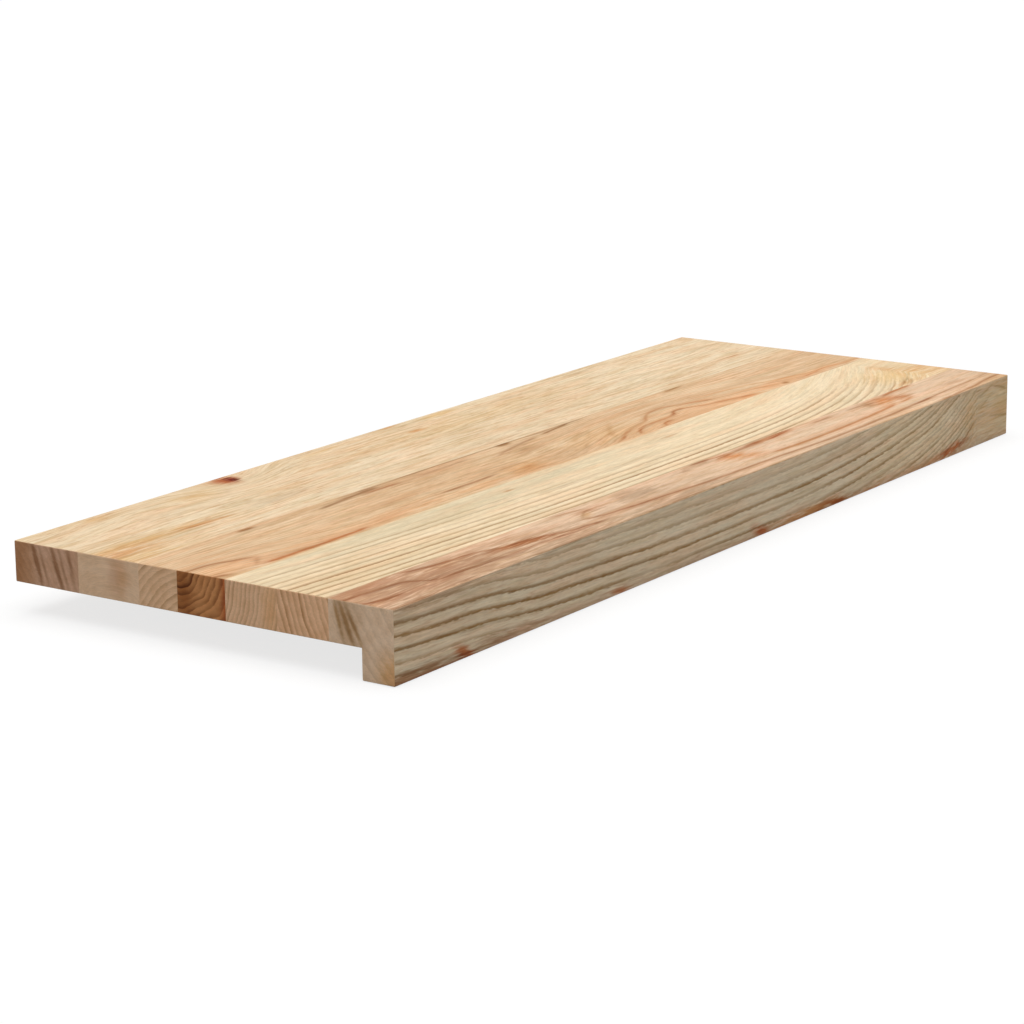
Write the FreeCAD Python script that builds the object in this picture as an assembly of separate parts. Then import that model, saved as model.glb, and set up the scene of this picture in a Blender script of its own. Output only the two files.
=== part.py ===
"""Stair tread of solid hardwood: an edge-glued panel of staves with a rebated nosing along its front.

The staves run the whole length of the tread and are glued side by side, flush on both faces. The nosing
is one L-shaped piece: its upper part carries on the walking surface, and its lip hangs below the panel
and hooks over the front of the step. Sizes are in millimetres.

Frame: +X along the tread, -Y towards the nosing, +Z up. The origin is level with the underside of the
lip, in the middle of the tread's length and depth.
"""

import FreeCAD
import Part
import os

# Driving dimensions of the finished tread.
TREAD_LENGTH = 800.0
TREAD_DEPTH = 300.0
PANEL_THICKNESS = 27.0
NOSING_WIDTH = 48.0
LIP_THICKNESS = 24.0
LIP_DROP = 20.0
ARRIS_RADIUS = 0.8

# Widths of the staves in the order they are glued on behind the nosing. One more stave, at the back, is
# ripped to the width that the tread's depth leaves.
STAVE_WIDTHS = [39.0, 40.0, 38.0, 31.0, 50.0]

# Sizes and levels that follow from the driving dimensions.
NOSING_HEIGHT = PANEL_THICKNESS + LIP_DROP
BACK_Y = TREAD_DEPTH / 2
FRONT_Y = -TREAD_DEPTH / 2
LIP_BACK_Y = FRONT_Y + LIP_THICKNESS
UNDERSIDE_Z = LIP_DROP
TOP_Z = NOSING_HEIGHT
END_X = TREAD_LENGTH / 2


def tread_section():
    """The L-shaped cross-section of the whole tread, as a face on the tread's left end."""
    corners = [
        (BACK_Y, TOP_Z),
        (BACK_Y, UNDERSIDE_Z),
        (LIP_BACK_Y, UNDERSIDE_Z),
        (LIP_BACK_Y, 0),
        (FRONT_Y, 0),
        (FRONT_Y, TOP_Z),
    ]
    outline = [FreeCAD.Vector(-END_X, y, z) for y, z in corners]
    return Part.Face(Part.makePolygon(outline + outline[:1]))


def is_inner_corner(edge):
    """Whether an edge is the rebate's inner corner, which stays as sharp as the cutter left it."""
    return all(
        abs(vertex.Y - LIP_BACK_Y) < Part.Precision.confusion()
        and abs(vertex.Z - UNDERSIDE_Z) < Part.Precision.confusion()
        for vertex in edge.Vertexes
    )


def tread_blank():
    """The glued-up tread before it is told apart into pieces, with its outer arrises eased by sanding."""
    planed = tread_section().extrude(FreeCAD.Vector(TREAD_LENGTH, 0, 0))
    arrises = [edge for edge in planed.Edges if not is_inner_corner(edge)]
    return planed.makeFillet(ARRIS_RADIUS, arrises)


def ripped_widths():
    """Stave widths from the nosing to the back edge, where the back one takes up what is left of the depth.

    On a shallow tread, the listed staves that would leave the back one narrower than half the narrowest
    of them are left out.
    """
    widths = []
    left = TREAD_DEPTH - NOSING_WIDTH
    for width in STAVE_WIDTHS:
        if left - width < min(STAVE_WIDTHS) / 2:
            break
        widths.append(width)
        left -= width
    return widths + [left]


def piece_widths():
    """The name and width of every piece, from the back edge to the nosing."""
    widths = ripped_widths()[::-1] + [NOSING_WIDTH]
    inner_names = [f"stave_{number}" for number in range(2, len(widths))]
    return dict(zip(["stave_1_back", *inner_names, "nosing"], widths))


def strip_of(blank, back_y, width):
    """The piece of the tread between two glue lines: the one at back_y and the one a width in front of it."""
    box = Part.makeBox(TREAD_LENGTH, width, NOSING_HEIGHT, FreeCAD.Vector(-END_X, back_y - width, 0))
    return blank.common(box).Solids[0]


def tread_pieces():
    """Every piece of the tread by name, from the back edge to the nosing."""
    blank = tread_blank()
    pieces = {}
    back_y = BACK_Y
    for name, width in piece_widths().items():
        pieces[name] = strip_of(blank, back_y, width)
        back_y -= width
    return pieces


os.makedirs("parts", exist_ok=True)
for name, solid in tread_pieces().items():
    solid.exportStep(f"parts/{name}.step")
    print(f"{name}: {solid.Volume / 1000:.1f} cm3, valid {solid.isValid()}, {len(solid.Faces)} faces")
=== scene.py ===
"""Looks of an oak stair tread: six glued staves and an L-shaped nosing, on a white studio floor.

Every piece keeps the shape of its frame node. What is made here is the timber: growth rings, fibre, pores,
a knot, stains and end grain. They are laid out in board coordinates, in millimetres:

    along   from the left end of the tread
    across  from the back edge towards the nosing
    down    from the walking surface
"""

import logging
import math
from dataclasses import dataclass
from enum import Enum
from typing import Any, Sequence, Union

import bpy
import numpy as np
from mathutils import Matrix, Vector


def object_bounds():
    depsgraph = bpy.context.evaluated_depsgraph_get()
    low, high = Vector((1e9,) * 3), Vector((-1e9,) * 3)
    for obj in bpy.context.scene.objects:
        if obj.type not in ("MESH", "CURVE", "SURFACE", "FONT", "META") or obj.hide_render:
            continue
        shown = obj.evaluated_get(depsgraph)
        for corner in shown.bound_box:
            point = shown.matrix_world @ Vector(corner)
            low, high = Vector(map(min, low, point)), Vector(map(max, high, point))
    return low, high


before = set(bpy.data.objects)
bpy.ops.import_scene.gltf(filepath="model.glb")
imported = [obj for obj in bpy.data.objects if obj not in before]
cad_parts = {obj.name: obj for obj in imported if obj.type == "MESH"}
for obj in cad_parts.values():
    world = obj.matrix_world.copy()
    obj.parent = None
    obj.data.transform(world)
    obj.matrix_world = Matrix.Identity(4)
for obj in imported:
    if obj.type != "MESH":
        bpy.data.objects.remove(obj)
CAD_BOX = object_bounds()

LOG = logging.getLogger("stair_tread")
MM_PER_M = 1000.0
WHITE = (1.0, 1.0, 1.0)

# How far from an end of the tread the end grain sets in on the eased arris, and where it is complete.
END_STARTS = 0.35
END_WHOLE = 0.10

# How far below the walking surface its wash of colour is still whole, and where it has ended.
WASH_WHOLE = 0.3
WASH_ENDS = 0.9

# Shares of a ring: where its late wood sets in on an end, where that is darkest, and where it stops.
END_LATE_FROM = 0.1
LATE_PEAK = 0.88
LATE_STOPS = 0.90

# Shares of a ring between which a second, weaker line comes on, and between which it fades again.
SECOND_RISE = (0.20, 0.42)
SECOND_FALL = (0.54, 0.44)

# How far below sags_from, in millimetres, the sag of the rings is whole.
SAG_EASE = 1.0

# A vein's core and its fainter halo: how wide each is, in thicknesses, and its share of the strength.
CORE_REACH = 1.5
CORE_SHARE = 0.75
HALO_REACH = 4.0
HALO_SHARE = 0.3

# How long a vein tapers at each end, in millimetres, and the largest share of its length that this may take.
VEIN_TAPER = 16.0
MOST_TAPER = 0.45

# The least height of a vein's course, in millimetres, so that a straight one has a scale.
LEAST_SPAN = 1.0

# How far fraying moves a vein's edges, in millimetres, and how much of a stain's radius it wears away.
VEIN_FRAY = 0.6
STAIN_FRAY = 0.45
END_STAIN_FRAY = 0.15

# How far the dark lines on an end are frayed, in rings.
END_RING_FRAY = 0.12

# How far slow and quick noise move a point along the wood, and across it for a waviness of 1.
SLOW_REACH = (10.0, 4.0)
QUICK_REACH = (2.0, 1.6)

# How far apart the noises of two seeds are read, in clouds, and the value about which noise swings.
SEED_STEP = (7.3, 3.1, 5.7)
NOISE_MIDDLE = 0.5

Colour = tuple[float, float, float]
Value = Union["Signal", float, Sequence[float]]


class Signal:
    """A shader value that takes part in Python arithmetic: each operator adds one Math node."""

    def __init__(self, shader: "Shader", socket: bpy.types.NodeSocket) -> None:
        """Wrap one output socket of a shader's nodes."""
        self.shader = shader
        self.socket = socket

    def math(self, operation: str, *values: Value) -> "Signal":
        """Add a Math node that takes the given values in order."""
        return self.shader.add("ShaderNodeMath", {"operation": operation}, dict(enumerate(values)))

    def __add__(self, other: Value) -> "Signal":
        """This value plus another."""
        return self.math("ADD", self, other)

    def __radd__(self, other: Value) -> "Signal":
        """Another value plus this one."""
        return self.math("ADD", other, self)

    def __sub__(self, other: Value) -> "Signal":
        """This value less another."""
        return self.math("SUBTRACT", self, other)

    def __rsub__(self, other: Value) -> "Signal":
        """Another value less this one."""
        return self.math("SUBTRACT", other, self)

    def __mul__(self, other: Value) -> "Signal":
        """This value times another."""
        return self.math("MULTIPLY", self, other)

    def __rmul__(self, other: Value) -> "Signal":
        """Another value times this one."""
        return self.math("MULTIPLY", other, self)

    def __abs__(self) -> "Signal":
        """The size of this value, without its sign."""
        return self.math("ABSOLUTE", self)

    def at_most(self, limit: Value) -> "Signal":
        """The lesser of this value and a limit."""
        return self.math("MINIMUM", self, limit)

    def at_least(self, limit: Value) -> "Signal":
        """The greater of this value and a limit."""
        return self.math("MAXIMUM", self, limit)

    def whole(self) -> "Signal":
        """The whole part of this value."""
        return self.math("FLOOR", self)

    def fraction(self) -> "Signal":
        """What is left of this value above its whole part."""
        return self.math("FRACT", self)


class Shader:
    """The nodes of a material or of the world, added one at a time."""

    def __init__(self, owner: Union[bpy.types.Material, bpy.types.World]) -> None:
        """Start with no nodes.

        Args:
            owner: The material or world that the nodes belong to.
        """
        owner.use_nodes = True
        self.owner = owner
        self.tree = owner.node_tree
        self.tree.nodes.clear()

    def add(self, kind: str, settings: dict[str, Any], sockets: dict[Any, Value], output: Any = 0) -> Signal:
        """Add a node.

        Args:
            kind: The node's type.
            settings: The node's own settings, set before its sockets.
            sockets: A value or a signal for each input socket, by its number or name.
            output: The number or name of the output socket that is wanted.

        Returns:
            The wanted output, as a signal.
        """
        node = self.tree.nodes.new(kind)
        for key, value in settings.items():
            if key == "course":
                self.lay_course(node.mapping, value)
            else:
                setattr(node, key, value)
        for key, value in sockets.items():
            self.plug(node.inputs[key], value)
        return Signal(self, node.outputs[output] if node.outputs else None)

    def lay_course(self, mapping: bpy.types.CurveMapping, course: Sequence[Sequence[float]]) -> None:
        """Lay a smooth curve through points.

        Args:
            mapping: The curve of a node.
            course: The points, from left to right, each from 0 to 1 both ways.
        """
        points = mapping.curves[0].points
        for place in course[len(points):]:
            points.new(*place)
        for point, place in zip(points, course):
            point.location = place
        mapping.update()

    def plug(self, socket: bpy.types.NodeSocket, value: Value) -> None:
        """Link a signal to an input socket, or set the socket to a plain value.

        Args:
            socket: The input socket.
            value: A signal, a number, or a colour or vector of three numbers.
        """
        if isinstance(value, Signal):
            self.tree.links.new(value.socket, socket)
        elif socket.type == "RGBA":
            socket.default_value = (*value, 1.0)
        else:
            socket.default_value = value

    def vector(self, operation: str, *values: Value) -> Signal:
        """Add a Vector Math node that takes the given values in order."""
        return self.add("ShaderNodeVectorMath", {"operation": operation}, dict(enumerate(values)))

    def scaled(self, vector: Signal, factor: Value) -> Signal:
        """A vector or colour times a number."""
        return self.add("ShaderNodeVectorMath", {"operation": "SCALE"}, {0: vector, "Scale": factor})

    def combine(self, x: Value, y: Value, z: Value = 0.0) -> Signal:
        """A vector of three values."""
        return self.add("ShaderNodeCombineXYZ", {}, {0: x, 1: y, 2: z})

    def parts(self, vector: Signal) -> list[Signal]:
        """The three values of a vector."""
        first = self.add("ShaderNodeSeparateXYZ", {}, {0: vector})
        return [Signal(self, socket) for socket in first.socket.node.outputs]

    def blend(self, amount: Value, below: Value, above: Value, mode: str = "MIX") -> Signal:
        """Lay one colour over another.

        Args:
            amount: How much of the upper colour shows, from 0 to 1.
            below: The lower colour.
            above: The upper colour.
            mode: Blender's name for how they mix.

        Returns:
            The mixed colour.
        """
        settings = {"data_type": "RGBA", "blend_type": mode}
        return self.add("ShaderNodeMix", settings, {0: amount, 6: below, 7: above}, output=2)

    def smooth(self, value: Signal, low: Value, high: Value, top: Value = 1.0) -> Signal:
        """A smooth step.

        Args:
            value: What is stepped.
            low: Where the step starts from 0. It may lie above high, and the step then falls.
            high: Where the step is complete.
            top: The height of the step.

        Returns:
            The stepped value.
        """
        sockets = {"Value": value, "From Min": low, "From Max": high, "To Max": top}
        return self.add("ShaderNodeMapRange", {"interpolation_type": "SMOOTHSTEP"}, sockets)

    def straight_view(self) -> Signal:
        """Tell what is looked at from light that only bounces.

        Returns:
            1 for what the camera sees straight, in a gloss or through glass, and 0 for light that bounces.
        """
        kinds = ("Is Camera Ray", "Is Glossy Ray", "Is Transmission Ray")
        straight, glossy, through = [self.add("ShaderNodeLightPath", {}, {}, output=kind) for kind in kinds]
        return straight.at_least(glossy).at_least(through)


class Cloud(Enum):
    """Kinds of noise in the wood.

    Each has the length and the width of its clouds in millimetres, the values of the noise between which it
    comes on, and how many finer layers it has.
    """

    SLOW_DRIFT = (150.0, 26.0, 0.0, 1.0, 2.0)
    FIBRE = (16.0, 0.8, 0.0, 1.0, 3.0)
    TONE = (120.0, 15.0, 0.32, 0.68, 2.0)
    STREAK = (34.0, 2.6, 0.40, 0.70, 3.0)
    QUICK_DRIFT = (34.0, 7.0, 0.0, 1.0, 2.0)
    FLECK = (14.0, 1.6, 0.54, 0.74, 2.0)
    PORES = (7.0, 0.45, 0.60, 0.72, 2.0)
    END_TONE = (60.0, 9.0, 0.35, 0.70, 2.0)
    FADING = (110.0, 8.0, 0.25, 0.60, 2.0)
    END_SHAKE = (90.0, 24.0, 0.0, 1.0, 2.0)
    FRAY = (20.0, 2.2, 0.40, 0.78, 3.0)
    HUE = (90.0, 10.0, 0.42, 0.66, 2.0)
    DULLNESS = (60.0, 8.0, 0.44, 0.68, 2.0)
    SPECKLE = (6.0, 1.4, 0.0, 1.0, 2.0)

    def __init__(self, length: float, width: float, low: float, high: float, detail: float) -> None:
        """Name the five numbers, and count the kind itself so that no two read the same noise.

        Args:
            length: The length of the clouds.
            width: The width of the clouds.
            low: The noise at which the kind starts to come on.
            high: The noise at which it is whole.
            detail: How many finer layers the noise has.
        """
        self.length = length
        self.width = width
        self.low = low
        self.high = high
        self.detail = detail
        self.number = len(self.__class__.__members__)


class Tint(Enum):
    """What a stain does to the colour of the wood below it, as factors of red, green and blue."""

    PINK = (1.02, 0.95, 0.92)
    # PALE also paints one highlight, along a glue line on the cream figure.
    PALE = (1.06, 1.14, 1.20)
    BRIGHT = (1.12, 1.11, 1.07)
    STRAW = (0.87, 0.82, 0.73)
    TAN = (0.84, 0.76, 0.66)
    KHAKI = (0.85, 0.87, 0.86)
    SMOKE = (0.74, 0.70, 0.66)
    AMBER = (0.93, 0.80, 0.60)
    SALMON = (1.03, 0.91, 0.83)
    ROSE = (0.80, 0.68, 0.62)
    CLAY = (0.62, 0.47, 0.37)
    FLAME = (0.72, 0.49, 0.33)
    CORAL = (0.84, 0.54, 0.32)
    SIENNA = (0.66, 0.40, 0.25)
    OLIVE = (0.62, 0.52, 0.38)
    BARK = (0.55, 0.46, 0.37)
    UMBER = (0.50, 0.37, 0.25)
    RUST = (0.72, 0.34, 0.20)
    KNOT = (0.34, 0.085, 0.02)


@dataclass(frozen=True)
class Patch:
    """A soft-edged oval on the wood.

    Its amount is a tint's strength, how far it pushes the rings, or how much it doubles or hides their lines.
    """

    along: float
    across: float
    half_length: float
    half_width: float
    amount: float
    tint: Tint = Tint.AMBER
    turn: float = 0.0


@dataclass(frozen=True)
class Vein:
    """A coloured line that runs smoothly through a few points, each given along and across the wood."""

    course: tuple[tuple[float, float], ...]
    thickness: float
    amount: float
    tint: Tint = Tint.CLAY


@dataclass(frozen=True)
class Figure:
    """The pattern of a board's growth rings and stains, as seen on its face.

    The wood varies from pale to warm. Each ring ends in a line of dark late wood, which sets in at late_from,
    a share of the ring. Uneven is how much one ring's line differs from the next one's, fading how much each
    line comes and goes along itself, and fray how far its edges wander, in rings. A ring has a second line
    where the wood is doubled, and none where it is plain. Mottle is the strength of pale brown streaks, and
    fleck that of short dark dashes. The wash tints the walking surface alone.

    The rings sag to a trough along the board, on faces that lie deeper than sags_from, and run straight from
    bend_ends on. Swells push them aside.
    """

    name: str
    seed: float
    pale: Colour
    warm: Colour
    line: Colour
    pitch: float
    offset: float
    late_from: float
    contrast: float
    uneven: float
    fading: float
    waviness: float
    mottle: float
    fleck: float
    fray: float = 0.22
    wash: Colour = WHITE
    trough: float = 400.0
    sags_from: float = -1.0
    bend_left: float = 0.0
    bend_right: float = 0.0
    bend_ends: float = 800.0
    swells: tuple[Patch, ...] = ()
    doubled: tuple[Patch, ...] = ()
    plain: tuple[Patch, ...] = ()
    stains: tuple[Patch, ...] = ()
    veins: tuple[Vein, ...] = ()


@dataclass(frozen=True)
class EndGrain:
    """How a piece looks where it is cut across: its two tones, and its rings about the heart of the log.

    Shake is how far slow noise moves the rings, in millimetres.
    """

    light: Colour
    dark: Colour
    heart: tuple[float, float]
    pitch: float
    contrast: float
    shake: float = 5.0
    stains: tuple[Patch, ...] = ()


class TimberShader(Shader):
    """The wood of one piece, from its figure and its end grain."""

    fibre_shade: float = 0.28
    speckle_shade: float = 0.27
    pore_shade: float = 0.12
    dullness: float = 0.5
    end_mottle: float = 0.5
    roughness: float = 0.72
    late_gloss: float = 0.10
    fibre_gloss: float = 0.12
    relief_strength: float = 0.2
    relief_depth: float = 0.0002
    relief_share: float = 0.5
    specular: float = 0.08

    def __init__(self, name: str, figure: Figure, end_grain: EndGrain) -> None:
        """Build the whole material.

        Args:
            name: What the material is called.
            figure: The pattern on the piece's faces, which is carried over its edges.
            end_grain: The pattern on the piece's ends.
        """
        super().__init__(bpy.data.materials.new(name))
        self.figure = figure
        self.end_grain = end_grain
        low, high = CAD_BOX
        place = self.add("ShaderNodeTexCoord", {}, {}, output="Object")
        corner = (-low.x * MM_PER_M, high.y * MM_PER_M, high.z * MM_PER_M)
        self.board = self.vector("MULTIPLY_ADD", place, (MM_PER_M, -MM_PER_M, -MM_PER_M), corner)
        along, across, self.down = self.parts(self.board)
        middle = (high.x - low.x) * MM_PER_M / 2
        self.on_end = self.smooth(abs(along - middle), middle - END_STARTS, middle - END_WHOLE)
        self.face_point = self.drifted(self.combine(along, across + self.down))
        self.face_along, self.face_across, _ = self.parts(self.face_point)
        self.end_point = self.combine(across, self.down)
        self.level = self.ring_level()
        self.flow = self.combine(self.face_along, self.level, self.down)
        self.frayed = self.clouded(self.flow, Cloud.FRAY)
        self.speckle = self.noise(self.flow, Cloud.SPECKLE) - NOISE_MIDDLE
        self.build_surface()

    def noise(self, point: Signal, cloud: Cloud, output: str = "Fac") -> Signal:
        """Cloudy noise that is drawn out along the wood.

        Args:
            point: Where the noise is read, in millimetres.
            cloud: The kind of noise.
            output: "Fac" for a number or "Color" for three, each from 0 to 1.

        Returns:
            The noise.
        """
        rates = (1.0 / cloud.length, 1.0 / cloud.width, 1.0 / cloud.width)
        seed = self.figure.seed + cloud.number
        read_at = self.vector("MULTIPLY_ADD", point, rates, tuple(seed * step for step in SEED_STEP))
        sockets = {"Vector": read_at, "Scale": 1.0, "Detail": cloud.detail}
        return self.add("ShaderNodeTexNoise", {}, sockets, output)

    def clouded(self, point: Signal, cloud: Cloud, top: Value = 1.0) -> Signal:
        """Noise that comes on between the two values of its kind.

        Args:
            point: Where the noise is read, in millimetres.
            cloud: The kind of noise.
            top: What it rises to.

        Returns:
            The noise, from 0 to its top.
        """
        return self.smooth(self.noise(point, cloud), cloud.low, cloud.high, top)

    def drifted(self, point: Signal) -> Signal:
        """A point moved about by slow noise, so that nothing on the wood is dead straight.

        Args:
            point: A place on the figure.

        Returns:
            The moved place.
        """
        for cloud, (along, across) in ((Cloud.SLOW_DRIFT, SLOW_REACH), (Cloud.QUICK_DRIFT, QUICK_REACH)):
            reach = np.array((along, across * self.figure.waviness, 0.0))
            push = self.noise(self.board, cloud, "Color")
            point = self.vector("MULTIPLY_ADD", push, reach.tolist(), point)
            point = self.vector("SUBTRACT", point, (reach * NOISE_MIDDLE).tolist())
        return point

    def patch(self, point: Signal, patch: Patch, worn: Value = 0.0) -> Signal:
        """The strength of a patch at a point: highest in the middle of its oval, and 0 from its rim on.

        Args:
            point: A place on the figure.
            patch: The oval.
            worn: How much of the oval's radius is worn away from its rim.

        Returns:
            The strength, times the patch's amount.
        """
        sockets = {
            "Vector": point,
            "Location": (patch.along, patch.across, 0.0),
            "Rotation": (0.0, 0.0, math.radians(patch.turn)),
            "Scale": (patch.half_length, patch.half_width, 1.0),
        }
        oval = self.add("ShaderNodeMapping", {"vector_type": "TEXTURE"}, sockets)
        cone = self.add("ShaderNodeTexGradient", {"gradient_type": "SPHERICAL"}, {0: oval}, output="Fac")
        return self.smooth(cone - worn, 0.0, 1.0, patch.amount)

    def ring_level(self) -> Signal:
        """How far a point lies across the growth rings, in millimetres.

        On a face the rings sag to a trough along the board: they rise as a square to its left and as a fourth
        power to its right, and swells push them aside. On an end they are arcs about the heart of the log.

        Returns:
            The level, which is the same all along one ring.
        """
        figure = self.figure
        past_trough = self.face_along.at_most(figure.bend_ends) - figure.trough
        left = past_trough.at_most(0.0)
        right = past_trough.at_least(0.0)
        left_squared = left * left
        right_squared = right * right
        bend = left_squared * figure.bend_left + right_squared * right_squared * figure.bend_right
        sags = self.smooth(self.down, figure.sags_from, figure.sags_from + SAG_EASE)
        face = self.face_across + bend * sags
        for swell in figure.swells:
            face = face + self.patch(self.face_point, swell)
        shaken = self.noise(self.board, Cloud.END_SHAKE, "Color")
        shake = (self.end_grain.shake, self.end_grain.shake, 0.0)
        end_point = self.vector("MULTIPLY_ADD", shaken, shake, self.end_point)
        sockets = {0: end_point, 1: (*self.end_grain.heart, 0.0)}
        end = self.add("ShaderNodeVectorMath", {"operation": "DISTANCE"}, sockets, output="Value")
        return face + self.on_end * (end - face)

    def ring_lines(self) -> Signal:
        """The dark late wood, which comes on slowly within each ring and stops sharply at its end.

        Returns:
            The strength of the dark lines, from 0 to 1.
        """
        figure = self.figure
        rate = 1.0 / figure.pitch + self.on_end * (1.0 / self.end_grain.pitch - 1.0 / figure.pitch)
        fray = figure.fray + self.on_end * (END_RING_FRAY - figure.fray)
        turns = (self.level - figure.offset) * rate + self.speckle * fray
        phase = turns.fraction()
        ring = turns.whole()
        late_from = figure.late_from + self.on_end * (END_LATE_FROM - figure.late_from)
        late = self.smooth(phase, late_from, LATE_PEAK) * self.smooth(phase, 1.0, LATE_STOPS)
        for patch in figure.doubled:
            second = self.smooth(phase, *SECOND_RISE) * self.smooth(phase, *SECOND_FALL)
            late = late.at_least(second * self.patch(self.face_point, patch))
        chance = self.add("ShaderNodeTexWhiteNoise", {"noise_dimensions": "1D"}, {"W": ring + figure.seed})
        faded = 1.0 - self.clouded(self.flow, Cloud.FADING)
        strength = (1.0 - chance * figure.uneven) * (1.0 - faded * figure.fading)
        shown = 1.0
        for patch in figure.plain:
            shown = shown - self.patch(self.face_point, patch)
        return late * strength * self.on_end.at_least(shown)

    def vein(self, vein: Vein) -> Signal:
        """The strength of a vein at a point: a dark core within a faint band, about the vein's course.

        Args:
            vein: The line.

        Returns:
            The strength, from 0 to the vein's amount.
        """
        course = np.array(vein.course)
        start = course.min(axis=0)
        span = np.maximum(course.max(axis=0) - start, LEAST_SPAN)
        share = (self.face_along - float(start[0])) * float(1.0 / span[0])
        shape = {"course": ((course - start) / span).tolist()}
        line = self.add("ShaderNodeFloatCurve", shape, {"Value": share}) * float(span[1]) + float(start[1])
        distance = abs(self.face_across - line) + self.frayed * VEIN_FRAY
        core = self.smooth(distance, CORE_REACH * vein.thickness, 0.0, CORE_SHARE * vein.amount)
        halo = self.smooth(distance, HALO_REACH * vein.thickness, 0.0, HALO_SHARE * vein.amount)
        taper = min(MOST_TAPER, VEIN_TAPER / float(span[0]))
        return (core + halo) * self.smooth(share, 0.0, taper) * self.smooth(share, 1.0, 1.0 - taper)

    def stained(self, colour: Signal, point: Signal, patches: Sequence[Patch], fray: float) -> Signal:
        """Lay every stain of a list over a colour.

        Args:
            colour: The wood below.
            point: A place on the figure.
            patches: The stains.
            fray: How much of a stain's radius is worn away.

        Returns:
            The stained colour.
        """
        worn = self.frayed * fray
        for patch in patches:
            colour = self.blend(self.patch(point, patch, worn), colour, patch.tint.value, "MULTIPLY")
        return colour

    def face_colour(self, late: Signal) -> Signal:
        """The colour of the piece's long faces.

        Args:
            late: The strength of the dark ring lines.

        Returns:
            The colour.
        """
        figure = self.figure
        streak = self.clouded(self.flow, Cloud.STREAK, figure.mottle)
        fleck = self.clouded(self.flow, Cloud.FLECK, figure.fleck)
        walked_on = self.smooth(self.down, WASH_ENDS, WASH_WHOLE)
        colour = self.blend(self.clouded(self.flow, Cloud.TONE), figure.pale, figure.warm)
        colour = self.blend(self.clouded(self.flow, Cloud.HUE), colour, Tint.PINK.value, "MULTIPLY")
        dull = self.clouded(self.flow, Cloud.DULLNESS, self.dullness)
        colour = self.blend(dull, colour, Tint.KHAKI.value, "MULTIPLY")
        colour = self.blend(late * figure.contrast, colour, figure.line)
        colour = self.blend(streak, colour, Tint.STRAW.value, "MULTIPLY")
        colour = self.blend(fleck, colour, Tint.SIENNA.value, "MULTIPLY")
        colour = self.blend(walked_on, colour, figure.wash, "MULTIPLY")
        colour = self.stained(colour, self.face_point, figure.stains, STAIN_FRAY)
        for vein in figure.veins:
            colour = self.blend(self.vein(vein), colour, vein.tint.value, "MULTIPLY")
        return colour

    def end_colour(self, late: Signal) -> Signal:
        """The colour of the piece's cut ends.

        Args:
            late: The strength of the dark ring lines.

        Returns:
            The colour.
        """
        end = self.end_grain
        mottle = self.clouded(self.board, Cloud.END_TONE, self.end_mottle)
        colour = self.blend(late * end.contrast, end.light, end.dark)
        colour = self.blend(mottle, colour, Tint.TAN.value, "MULTIPLY")
        return self.stained(colour, self.end_point, end.stains, END_STAIN_FRAY)

    def build_surface(self) -> None:
        """Put the colours, the roughness and the fine relief together on one surface."""
        late = self.ring_lines()
        fibre = self.noise(self.flow, Cloud.FIBRE) - NOISE_MIDDLE
        pores = self.clouded(self.flow, Cloud.PORES)
        colour = self.blend(self.on_end, self.face_colour(late), self.end_colour(late))
        shade = fibre * self.fibre_shade + self.speckle * self.speckle_shade - pores * self.pore_shade
        colour = self.scaled(colour, 1.0 + shade)
        relief = {
            "Strength": self.relief_strength,
            "Distance": self.relief_depth,
            "Height": (fibre - pores) * self.relief_share,
        }
        sockets = {
            "Base Color": colour,
            "Roughness": self.roughness - late * self.late_gloss + fibre * self.fibre_gloss,
            "Normal": self.add("ShaderNodeBump", {}, relief),
            "Specular IOR Level": self.specular,
        }
        wood = self.add("ShaderNodeBsdfPrincipled", {}, sockets)
        self.add("ShaderNodeOutputMaterial", {}, {"Surface": wood})


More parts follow.
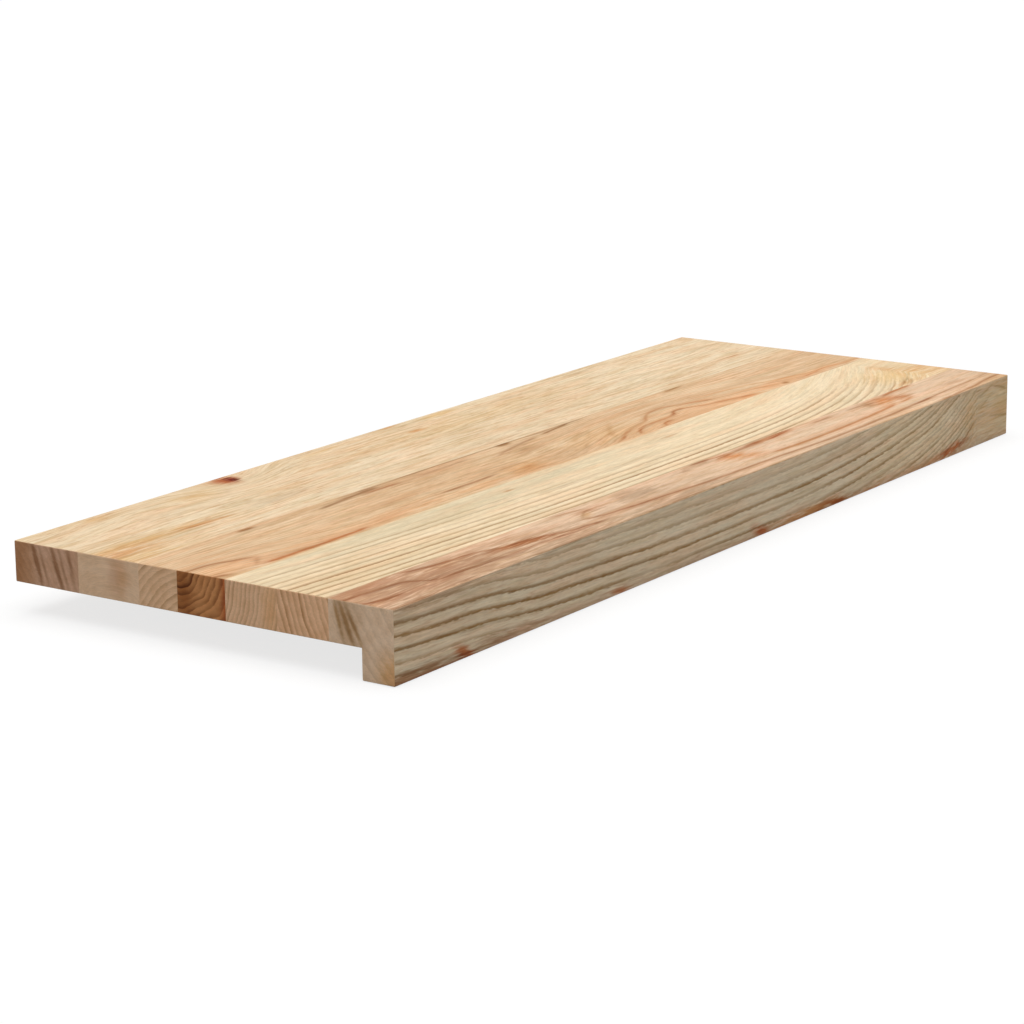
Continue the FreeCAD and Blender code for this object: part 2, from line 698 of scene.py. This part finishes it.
CREAM = Figure(
    name="cream", seed=1.0, pale=(0.875, 0.715, 0.50), warm=(0.81, 0.62, 0.405), line=(0.58, 0.39, 0.21),
    pitch=4.4, offset=0.0, late_from=0.3, contrast=0.36, uneven=0.7, fading=0.7, waviness=1.8, mottle=1.15,
    fleck=0.4,
    swells=(Patch(204, 2, 70, 52, -24.0), Patch(95, 20, 90, 40, 8.0)),
    stains=(
        Patch(40, 70, 130, 12, 1.1, Tint.AMBER),
        Patch(0, 92, 110, 18, 0.9, Tint.AMBER),
        Patch(20, 100, 90, 8, 0.5, Tint.AMBER),
        Patch(4, 72, 60, 9, 0.4, Tint.CORAL),
        Patch(14, 82, 64, 10, 0.7, Tint.CORAL),
        Patch(96, 73, 50, 6, 0.6, Tint.CORAL),
        Patch(4, 56, 44, 4, 0.6, Tint.TAN),
        Patch(150, 21, 44, 17, 0.7, Tint.AMBER),
        Patch(255, 24, 40, 6, 0.6, Tint.TAN),
        Patch(445, 8, 44, 8, 1.1, Tint.AMBER),
        Patch(300, 9, 44, 6, 0.6, Tint.AMBER),
        Patch(270, 49, 50, 5, 0.7, Tint.TAN),
        Patch(198, 53, 36, 9, 0.7, Tint.PALE),
        Patch(545, 68, 100, 9, 0.6, Tint.PALE),
        Patch(670, 45, 170, 70, 0.4, Tint.PALE),
        # Painted highlight: a thin pale line along the glue line, behind the dark dash on the next stave.
        Patch(452, 101, 24, 4, 0.9, Tint.PALE),
        Patch(612, 92, 36, 6, 0.8, Tint.PALE),
        Patch(182, 70, 64, 10, 0.6, Tint.SMOKE),
        Patch(430, 36, 220, 30, 0.5, Tint.AMBER),
        Patch(400, 50, 190, 60, 0.25, Tint.TAN),
        Patch(68, 8, 22, 6, 0.8, Tint.AMBER),
        Patch(391, 26, 16, 5, 0.9, Tint.CORAL),
        Patch(389, 3, 16, 5, 0.9, Tint.CORAL),
        Patch(620, 9, 30, 6, 0.6, Tint.OLIVE),
        Patch(650, 84, 30, 9, 0.5, Tint.OLIVE),
        Patch(752, 79, 30, 4, 0.8, Tint.SIENNA),
        Patch(390, 95, 60, 4, 0.4, Tint.SIENNA),
        Patch(500, 70, 14, 5, 0.5, Tint.SIENNA),
        Patch(193, 7, 20, 22, 0.7, Tint.SIENNA),
        Patch(198, 9, 17, 20, 1.4, Tint.RUST),
        Patch(204, 4, 11, 5, 0.8, Tint.CLAY),
        Patch(202, 11, 11, 14, 1.2, Tint.KNOT),
        Patch(204, 13.2, 6, 6, 1.6, Tint.UMBER),
    ),
    veins=(
        Vein(((-10, 63), (20, 63.5), (45, 65)), 2.2, 0.5, Tint.TAN),
        Vein(((15, 75), (60, 74), (90, 73.5), (136, 74)), 3.0, 0.7, Tint.TAN),
    ),
)

AMBER = Figure(
    name="amber", seed=2.0, pale=(0.835, 0.615, 0.395), warm=(0.74, 0.50, 0.30), line=(0.50, 0.29, 0.14),
    pitch=4.6, offset=0.0, late_from=0.3, contrast=0.42, uneven=0.6, fading=0.6, waviness=1.2, mottle=0.95,
    fleck=0.35,
    swells=(Patch(548, 182, 190, 90, 44.0), Patch(-30, 168, 190, 60, 34.0)),
    stains=(
        Patch(250, 140, 340, 60, 0.45, Tint.TAN),
        Patch(14, 157, 64, 20, 1.4, Tint.SALMON),
        Patch(560, 168, 170, 28, 1.4, Tint.SALMON),
        Patch(700, 164, 140, 14, 1.2, Tint.SALMON),
        Patch(555, 158, 110, 18, 0.5, Tint.PALE),
        Patch(552, 145, 30, 9, 1.2, Tint.PALE),
        Patch(552, 146, 34, 10, 1.0, Tint.SALMON),
        Patch(338, 161, 50, 20, 0.9, Tint.AMBER),
        Patch(340, 164, 40, 12, 0.3, Tint.CORAL),
        Patch(160, 165, 160, 16, 1.4, Tint.SALMON),
        Patch(281, 165, 38, 10, 1.4, Tint.SALMON),
        Patch(392, 145, 20, 9, 0.4, Tint.OLIVE),
        Patch(385, 130, 34, 17, 0.5, Tint.OLIVE),
        Patch(455, 150, 90, 32, 0.5, Tint.AMBER),
        Patch(526, 146, 22, 9, 0.25, Tint.CORAL),
        Patch(5, 140, 44, 10, 0.3, Tint.CORAL),
        Patch(245, 155, 44, 8, 0.3, Tint.CORAL),
        Patch(312, 125, 44, 4, 0.7, Tint.TAN),
        Patch(366, 137, 36, 5, 0.7, Tint.TAN),
        Patch(714, 139, 36, 4, 0.7, Tint.TAN),
        Patch(610, 115, 46, 7, 0.5, Tint.STRAW),
        Patch(120, 120, 74, 6, 0.7, Tint.PALE),
        Patch(108, 142, 44, 5, 0.6, Tint.PALE),
        Patch(505, 154, 36, 5, 0.8, Tint.PALE),
        Patch(700, 162, 44, 6, 0.6, Tint.PALE),
        Patch(681, 168, 7, 5, 1.2, Tint.OLIVE),
    ),
    veins=(
        Vein(((86, 107), (99, 107.5), (113, 107)), 2.0, 1.2, Tint.UMBER),
        Vein(((190, 107.5), (240, 105.8), (330, 105.4), (420, 105.4), (500, 105.4)), 0.9, 0.8, Tint.BARK),
        Vein(((160, 115), (192, 112.5), (218, 109.5), (244, 108)), 2.2, 1.1, Tint.BARK),
        Vein(((210, 115), (232, 113), (262, 116)), 1.8, 0.8, Tint.SIENNA),
        Vein(((270, 110), (305, 113), (350, 111)), 1.8, 0.5),
        Vein(((376, 106.5), (401, 106.5)), 2.6, 1.3, Tint.UMBER),
        Vein(((350, 125), (385, 117), (430, 110)), 1.8, 0.7),
        Vein(((426, 110.5), (450, 108), (478, 105.5)), 1.3, 1.2, Tint.UMBER),
        Vein(((594, 109), (612, 107.5), (634, 105.5)), 1.6, 1.1, Tint.OLIVE),
        Vein(((-12, 143), (20, 145), (36, 151), (57, 158)), 2.0, 1.1),
        Vein(((32, 169), (44, 162), (55, 156)), 2.6, 0.6),
        Vein(((-12, 161), (4, 166), (18, 171)), 2.0, 1.0),
        Vein(((36, 168.5), (90, 170.5), (152, 169)), 2.2, 1.1, Tint.SIENNA),
        Vein(((240, 151), (258, 155), (290, 155), (317, 154)), 1.8, 1.0),
        Vein(((416, 147), (432, 140), (458, 129)), 3.0, 0.8, Tint.TAN),
        Vein(((436, 148), (448, 141), (468, 130)), 2.6, 0.6, Tint.TAN),
        Vein(((444, 168), (457, 156), (473, 143), (496, 129)), 3.4, 0.8, Tint.TAN),
        Vein(((434, 173), (450, 168), (462, 162), (472, 158.5), (485, 155), (497, 153), (508, 150.5),
              (520, 143.5), (530, 138.5), (541, 135.7), (553, 135), (563, 138), (574, 142), (584, 146),
              (594, 150.5), (610, 155)), 2.0, 0.7, Tint.FLAME),
        Vein(((464, 173), (472, 168), (478, 164), (486, 160.5), (496, 158.5), (525, 157.2), (535, 156),
              (543, 152.5), (550, 149.5), (557, 149), (563, 151), (570, 154), (580, 157.5), (604, 163),
              (634, 170)), 1.8, 0.78, Tint.FLAME),
        Vein(((528, 158), (541, 153.5), (549, 150), (568, 152)), 1.7, 0.7),
        Vein(((466, 173), (475, 167), (488, 159.5)), 1.5, 0.7, Tint.FLAME),
        Vein(((499, 173), (505, 169.5), (512, 165), (528, 163.5)), 1.8, 1.0, Tint.FLAME),
        Vein(((604, 165), (622, 169), (642, 169)), 2.2, 0.7, Tint.CORAL),
        Vein(((570, 139), (588, 146), (606, 152.5), (638, 157), (658, 161.5), (676, 166)), 1.5, 0.5,
             Tint.CORAL),
        Vein(((586, 136), (612, 140.5), (658, 148), (684, 156), (712, 162)), 1.5, 0.45, Tint.CORAL),
        Vein(((660, 157), (700, 160), (735, 165), (810, 167)), 1.4, 0.4, Tint.CORAL),
        Vein(((700, 170), (730, 167), (752, 164), (775, 168.5), (810, 169)), 1.4, 0.55, Tint.CORAL),
    ),
)

STRIPED = Figure(
    name="striped", seed=5.35, pale=(0.92, 0.755, 0.52), warm=(0.87, 0.70, 0.465), line=(0.375, 0.20, 0.08),
    pitch=7.3, offset=5.03, late_from=0.45, contrast=1.0, uneven=0.7, fading=0.3, waviness=0.6, mottle=0.6,
    fleck=0.2, trough=365.0, bend_left=1.18e-4, bend_right=2.48e-9, bend_ends=768.0,
    doubled=(Patch(735, 215, 70, 70, 0.8),),
    plain=(
        Patch(400, 168, 3000, 34, 2.0),
        Patch(470, 184, 430, 46, 2.0),
        Patch(832, 215, 122, 170, 2.5),
        Patch(720, 205, 150, 90, 0.6),
    ),
    stains=(
        Patch(240, 187, 420, 30, 1.2, Tint.KHAKI),
        Patch(60, 232, 260, 34, 0.7, Tint.STRAW),
        Patch(804, 226, 72, 84, 0.9, Tint.TAN),
        Patch(797, 251, 34, 18, 0.8, Tint.TAN),
        Patch(750, 227, 66, 44, 0.9, Tint.AMBER),
        Patch(275, 188, 10, 4, 0.9, Tint.SIENNA),
        Patch(474, 192, 18, 4, 0.5, Tint.SIENNA),
        Patch(770, 206, 14, 22, 0.5, Tint.CORAL, -20.0),
        Patch(775, 230, 9, 9, 0.4, Tint.CORAL),
        Patch(726, 247, 54, 7, 0.5, Tint.CORAL),
        Patch(792, 240, 46, 26, 1.2, Tint.SALMON),
    ),
    veins=(
        Vein(((716, 250), (738, 242.5), (756, 236)), 1.5, 0.9, Tint.OLIVE),
        Vein(((-20, 173.4), (240, 173.6), (500, 173.4)), 1.0, 0.6, Tint.CORAL),
        Vein(((270, 211), (340, 212.5), (420, 211)), 1.5, 0.4, Tint.BARK),
    ),
)

ROSY = Figure(
    name="rosy", seed=10.95, pale=(0.88, 0.735, 0.53), warm=(0.83, 0.675, 0.475), line=(0.36, 0.20, 0.07),
    pitch=8.2, offset=5.62, late_from=0.53, contrast=1.0, uneven=0.65, fading=0.3, waviness=0.9, mottle=0.9,
    fleck=0.3, fray=0.34, wash=(0.94, 0.815, 0.78), trough=330.0, sags_from=0.3, bend_left=1.45e-4,
    bend_right=1.85e-9, bend_ends=750.0,
    swells=(Patch(86, 322, 80, 140, 3.0), Patch(695, 322, 100, 140, -3.0)),
    doubled=(Patch(685, 322, 115, 70, 0.8),),
    plain=(
        Patch(400, 262, 3000, 48, 2.5),
        Patch(836, 310, 125, 200, 2.5),
        Patch(690, 310, 130, 90, 0.2),
        Patch(400, 354, 3000, 16, 1.5),
        Patch(470, 332, 150, 7, 0.5),
        Patch(400, 308, 170, 7, 0.5),
        Patch(290, 340, 90, 6, 0.6),
        Patch(490, 340, 90, 6, 0.6),
    ),
    stains=(
        Patch(-60, 272, 380, 60, 1.6, Tint.ROSE),
        Patch(20, 256, 110, 14, 0.7, Tint.ROSE),
        Patch(110, 280, 190, 30, 1.0, Tint.SMOKE),
        Patch(40, 276, 110, 36, 0.35, Tint.SMOKE),
        Patch(24, 299, 100, 9, 0.9, Tint.SMOKE),
        Patch(330, 295, 140, 10, 1.1, Tint.SMOKE),
        Patch(300, 284, 170, 30, 0.7, Tint.SMOKE),
        Patch(190, 298, 120, 9, 1.2, Tint.SMOKE),
        Patch(490, 297, 90, 6, 1.3, Tint.PALE),
        Patch(540, 269, 100, 9, 0.8, Tint.PALE),
        Patch(400, 352, 3000, 16, 1.4, Tint.ROSE),
        Patch(650, 322, 150, 60, 1.4, Tint.BRIGHT),
        Patch(800, 320, 95, 60, 1.0, Tint.AMBER),
        Patch(738, 320, 20, 44, 0.5, Tint.AMBER),
        Patch(797, 272, 42, 24, 0.8, Tint.KHAKI),
        Patch(168, 276, 50, 9, 1.4, Tint.FLAME, 9.0),
        Patch(205, 287, 64, 5, 0.8, Tint.CLAY),
        Patch(258, 264, 30, 10, 0.8, Tint.CLAY),
        Patch(414, 256, 44, 8, 0.7, Tint.CLAY),
        Patch(248, 270, 20, 6, 0.8, Tint.AMBER, -30.0),
        Patch(312, 264, 40, 16, 1.5, Tint.SMOKE),
        Patch(387, 259, 16, 5, 0.8, Tint.CLAY),
        Patch(446, 266, 38, 19, 1.0, Tint.CORAL, 22.0),
        Patch(443, 258, 26, 7, 0.9, Tint.FLAME),
        Patch(494, 256, 44, 7, 1.1, Tint.FLAME),
        Patch(522, 255, 30, 6, 1.1, Tint.FLAME),
        Patch(643, 261, 20, 11, 0.9, Tint.OLIVE),
        Patch(662, 265, 34, 18, 1.1, Tint.CORAL, -10.0),
        Patch(658, 257, 24, 5, 0.6, Tint.FLAME),
        Patch(686, 270, 20, 9, 1.0, Tint.FLAME),
        Patch(755, 276, 28, 6, 0.5, Tint.CLAY),
        Patch(14, 347, 90, 12, 1.6, Tint.CLAY),
        Patch(80, 349, 120, 9, 0.9, Tint.ROSE),
        Patch(94, 341, 34, 8, 0.8, Tint.ROSE),
        Patch(72, 345, 24, 7, 1.5, Tint.RUST, 25.0),
        Patch(125, 343, 80, 6, 0.8, Tint.ROSE),
        Patch(246, 347, 34, 6, 1.1, Tint.RUST, 8.0),
        Patch(420, 344, 22, 7, 1.3, Tint.RUST, 20.0),
        Patch(490, 347, 96, 11, 1.5, Tint.CORAL),
        Patch(525, 345, 40, 8, 1.2, Tint.SIENNA),
        Patch(585, 347, 36, 8, 0.8, Tint.CORAL),
        Patch(665, 347, 70, 10, 0.6, Tint.CORAL),
        Patch(706, 342, 46, 7, 1.2, Tint.RUST, -8.0),
    ),
    veins=(
        Vein(((58, 252), (80, 258.5), (96, 261.5), (120, 263.5), (136, 266.5), (154, 272)), 1.8, 1.1),
        Vein(((150, 271), (180, 277), (203, 282), (222, 285), (250, 288)), 2.0, 0.9),
        Vein(((-14, 263), (20, 265.4), (48, 268), (58, 274), (66, 281), (82, 284)), 1.9, 0.9),
        Vein(((66, 282), (140, 285.4), (210, 288)), 1.6, 0.8),
        Vein(((-14, 272), (0, 277), (12, 281.5), (40, 284)), 2.0, 1.1),
        Vein(((222, 254), (250, 257), (266, 262)), 1.8, 0.9),
        Vein(((232, 277), (250, 266), (266, 260)), 1.8, 0.7, Tint.OLIVE),
        Vein(((228, 273), (254, 279), (270, 281), (325, 285.4), (355, 287.7), (434, 289.5), (500, 292),
              (560, 294), (620, 292.5), (670, 290), (700, 288.5)), 1.7, 1.2),
        Vein(((660, 290.5), (700, 288), (745, 286), (775, 284.5), (812, 281)), 1.3, 0.9),
        Vein(((398, 253.5), (415, 253.5), (434, 255)), 1.6, 1.2),
        Vein(((448, 257.5), (475, 256), (504, 254.5)), 2.4, 0.9),
        Vein(((494, 259), (510, 257.5), (524, 255), (546, 253)), 2.0, 0.8, Tint.SIENNA),
        Vein(((558, 256), (580, 257.5), (602, 257)), 2.0, 0.8),
        Vein(((612, 258.5), (630, 258), (648, 259)), 2.0, 0.7),
        Vein(((670, 257.5), (690, 254.5), (706, 253.5), (732, 252.5)), 2.2, 1.2, Tint.SIENNA),
        Vein(((464, 280), (500, 282), (535, 283), (600, 281.5), (640, 279), (664, 275)), 1.8, 1.2,
             Tint.FLAME),
        Vein(((660, 267), (676, 265.5), (686, 267), (694, 271.5)), 1.6, 1.0, Tint.FLAME),
        Vein(((658, 278), (676, 276.5), (687, 275), (695, 271.5)), 1.6, 1.0, Tint.FLAME),
        Vein(((682, 299), (720, 298), (750, 296.5), (775, 294), (812, 292)), 1.6, 1.0),
        Vein(((-16, 307.5), (12, 309), (40, 311), (100, 314.5), (140, 318), (180, 320.5), (250, 323.2)),
             1.2, 0.5, Tint.BARK),
        Vein(((30, 318), (100, 323), (140, 326), (180, 328), (230, 331), (300, 332.8)), 1.2, 0.4, Tint.BARK),
        Vein(((-16, 324.5), (12, 326), (40, 327), (70, 329.7), (100, 332), (140, 335), (200, 337)),
             1.2, 0.4, Tint.BARK),
        Vein(((728, 337), (733, 334.5), (740, 330), (748, 325)), 1.2, 0.8),
        Vein(((712, 341), (724, 340.5), (735, 338.5), (749, 336)), 1.2, 0.7),
        Vein(((742, 309), (752, 309), (762, 307), (780, 301)), 1.2, 0.7, Tint.OLIVE),
        Vein(((736, 303), (748, 303.5), (762, 304)), 1.1, 0.6, Tint.OLIVE),
        Vein(((766, 303), (782, 306), (806, 314)), 1.2, 0.7, Tint.OLIVE),
        Vein(((762, 326), (784, 329), (808, 333)), 1.1, 0.6, Tint.OLIVE),
        Vein(((746, 321), (760, 316), (774, 309)), 1.2, 0.5, Tint.OLIVE),
    ),
)


@dataclass(frozen=True)
class Stave:
    """One piece of the tread: a frame node, the figure on its faces and the grain on its ends."""

    node: str
    figure: Figure
    end_grain: EndGrain

    def dress(self) -> bpy.types.Object:
        """Give the frame node its wood.

        Returns:
            The dressed object.
        """
        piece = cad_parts[self.node]
        shader = TimberShader(f"{self.node}_wood", self.figure, self.end_grain)
        piece.data.materials.clear()
        piece.data.materials.append(shader.owner)
        return piece


STAVES = (
    Stave("stave_1_back", CREAM, EndGrain(
        (0.67, 0.41, 0.27), (0.43, 0.24, 0.14), (-90, 90), 4.5, 0.45,
        stains=(
            Patch(2, 13, 24, 90, 2.0, Tint.TAN),
            Patch(2, 13, 16, 90, 1.2, Tint.TAN),
            Patch(19, 12, 3.4, 26, 1.5, Tint.BARK, -16.0),
            Patch(25, 14, 2.2, 24, 0.7, Tint.BARK, -16.0),
            Patch(36, 14, 3.2, 28, 1.4, Tint.BARK, -18.0),
            Patch(41, 12, 2.2, 24, 0.7, Tint.BARK, -16.0),
            Patch(47, 8, 3.0, 24, 0.9, Tint.BARK, -12.0),
        ),
    )),
    Stave("stave_2", CREAM, EndGrain(
        (0.85, 0.60, 0.40), (0.60, 0.38, 0.22), (86, 54), 5.0, 0.2,
        stains=(Patch(87, 10, 13, 26, 0.9, Tint.ROSE), Patch(90, 10, 7, 20, 0.4, Tint.AMBER)),
    )),
    Stave("stave_3", AMBER, EndGrain((0.87, 0.575, 0.355), (0.54, 0.31, 0.16), (160, 60), 4.4, 0.9)),
    Stave("stave_4", AMBER, EndGrain(
        (0.63, 0.285, 0.11), (0.13, 0.032, 0.004), (141, 5), 4.6, 0.9, shake=14.0,
        stains=(Patch(140, 13, 14, 50, 0.9, Tint.UMBER), Patch(175, 13, 9, 90, 1.0, Tint.RUST)),
    )),
    Stave("stave_5", STRIPED, EndGrain(
        (0.88, 0.57, 0.35), (0.56, 0.33, 0.18), (40, -20), 3.2, 0.9,
        stains=(Patch(208, 14, 12, 60, 0.6, Tint.AMBER),),
    )),
    Stave("stave_6", STRIPED, EndGrain((0.91, 0.565, 0.335), (0.46, 0.225, 0.095), (460, -54), 4.2, 1.0)),
    Stave("nosing", ROSY, EndGrain(
        (0.86, 0.63, 0.44), (0.55, 0.38, 0.24), (400, -60), 6.0, 0.4,
        stains=(
            Patch(266, 12, 16, 40, 0.6, Tint.OLIVE),
            Patch(259, 11, 2.6, 24, 1.2, Tint.OLIVE, -16.0),
            Patch(265, 13, 3.0, 26, 1.4, Tint.OLIVE, -22.0),
            Patch(271, 15, 2.6, 24, 1.2, Tint.OLIVE, -26.0),
            Patch(300, 42, 20, 22, 1.6, Tint.AMBER),
            Patch(301, 42, 14, 16, 0.35, Tint.CORAL),
        ),
    )),
)


@dataclass(frozen=True)
class Tread:
    """The whole tread, as the pieces from its back edge to its nosing."""

    staves: tuple[Stave, ...] = STAVES

    def dress(self) -> None:
        """Dress every piece."""
        for stave in self.staves:
            piece = stave.dress()
            LOG.info("%s dressed as %s timber", piece.name, stave.figure.name)


@dataclass(frozen=True)
class Studio:
    """A white floor, a broad lamp overhead and an even sky. Lengths are in metres."""

    floor_reach: float = 14.0
    floor_gap: float = 0.0004
    floor_cells: int = 8
    floor_white: float = 0.50
    shadow_share: float = 0.24
    sky: float = 0.20
    lamp_share: float = 0.84
    lamp_spread: float = 70.0

    def build(self) -> None:
        """Lay the floor and light it."""
        floor = self.floor()
        LOG.info("%s laid, %.0f m wide", floor.name, 2 * self.floor_reach)
        self.hang_lamp()
        self.fill_sky()
        LOG.info("studio lit")

    def floor(self) -> bpy.types.Object:
        """Make the floor: a level square grid, centred under the tread and a hair below it.

        Returns:
            The floor.
        """
        steps = np.linspace(-self.floor_reach, self.floor_reach, self.floor_cells + 1)
        x, y = np.meshgrid(steps, steps, indexing="ij")
        points = np.stack([x, y, np.full_like(x, -self.floor_gap)], axis=-1).reshape(-1, 3)
        index = np.arange(points.shape[0]).reshape(x.shape)
        corners = [index[:-1, :-1], index[1:, :-1], index[1:, 1:], index[:-1, 1:]]
        faces = np.stack(corners, axis=-1).reshape(-1, 4)
        mesh = bpy.data.meshes.new("studio_floor")
        mesh.from_pydata(points.tolist(), [], faces.tolist())
        mesh.materials.append(self.floor_finish())
        floor = bpy.data.objects.new("studio_floor", mesh)
        bpy.context.scene.collection.objects.link(floor)
        return floor

    def floor_finish(self) -> bpy.types.Material:
        """A matt white that is seen as pure white with the tread's shadow on it, and is clear from below.

        Returns:
            The material.
        """
        shader = Shader(bpy.data.materials.new("studio_white"))
        seen = shader.straight_view()
        matt = shader.add("ShaderNodeBsdfDiffuse", {}, {"Color": (self.floor_white,) * 3})
        shaded = shader.add("ShaderNodeBsdfDiffuse", {}, {"Color": WHITE})
        glow = shader.add("ShaderNodeEmission", {}, {"Color": WHITE, "Strength": 1.0})
        backdrop = shader.add("ShaderNodeMixShader", {}, {0: self.shadow_share, 1: glow, 2: shaded})
        surface = shader.add("ShaderNodeMixShader", {}, {0: seen, 1: matt, 2: backdrop})
        from_below = shader.add("ShaderNodeNewGeometry", {}, {}, output="Backfacing")
        clear = shader.add("ShaderNodeBsdfTransparent", {}, {})
        one_way = shader.add("ShaderNodeMixShader", {}, {0: from_below, 1: surface, 2: clear})
        shader.add("ShaderNodeOutputMaterial", {}, {"Surface": one_way})
        return shader.owner

    def hang_lamp(self) -> None:
        """Hang one broad lamp straight overhead. A strength of pi would light a white floor to white."""
        lamp = bpy.data.lights.new("overhead_lamp", "SUN")
        lamp.energy = math.pi * self.lamp_share
        lamp.angle = math.radians(self.lamp_spread)
        bpy.context.scene.collection.objects.link(bpy.data.objects.new("overhead_lamp", lamp))

    def fill_sky(self) -> None:
        """Fill the rest with an even sky, which the camera sees as white."""
        sky = Shader(bpy.data.worlds.new("studio_sky"))
        seen = sky.straight_view()
        fill = sky.add("ShaderNodeBackground", {}, {"Color": WHITE, "Strength": self.sky})
        backdrop = sky.add("ShaderNodeBackground", {}, {"Color": WHITE, "Strength": 1.0})
        mixed = sky.add("ShaderNodeMixShader", {}, {0: seen, 1: fill, 2: backdrop})
        sky.add("ShaderNodeOutputWorld", {}, {"Surface": mixed})
        bpy.context.scene.world = sky.owner


@dataclass(frozen=True)
class Viewpoint:
    """A camera that looks down at the tread's near corner. Its place is in metres, its angles in degrees."""

    place: tuple[float, float, float] = (-1.791, -1.208, 0.541)
    yaw: float = -55.02
    pitch: float = 14.03
    roll: float = -0.65
    lens: float = 110.1
    sensor: float = 36.0

    def build(self) -> None:
        """Set up the camera: turned by its yaw, tipped by its pitch, then rolled about its line of sight."""
        yaw, pitch, roll = [math.radians(angle) for angle in (self.yaw, self.pitch, self.roll)]
        ahead = Vector((-math.sin(yaw) * math.cos(pitch), math.cos(yaw) * math.cos(pitch), -math.sin(pitch)))
        level = Vector((math.cos(yaw), math.sin(yaw), 0.0))
        upright = level.cross(ahead)
        right = level * math.cos(roll) + upright * math.sin(roll)
        up = upright * math.cos(roll) - level * math.sin(roll)
        turned = Matrix((right, up, -ahead)).transposed().to_4x4()
        data = bpy.data.cameras.new("studio_camera")
        data.lens = self.lens
        data.sensor_width = self.sensor
        camera = bpy.data.objects.new("studio_camera", data)
        camera.matrix_world = Matrix.Translation(self.place) @ turned
        bpy.context.scene.collection.objects.link(camera)
        bpy.context.scene.camera = camera
        LOG.info("%s set up", camera.name)


def main() -> None:
    """Dress the tread, set up the studio and its camera, and report each piece."""
    logging.basicConfig(level=logging.INFO, format="%(name)s: %(message)s")
    bpy.context.scene.view_settings.view_transform = "Standard"
    Tread().dress()
    Studio().build()
    Viewpoint().build()


if __name__ == "__main__":
    main()
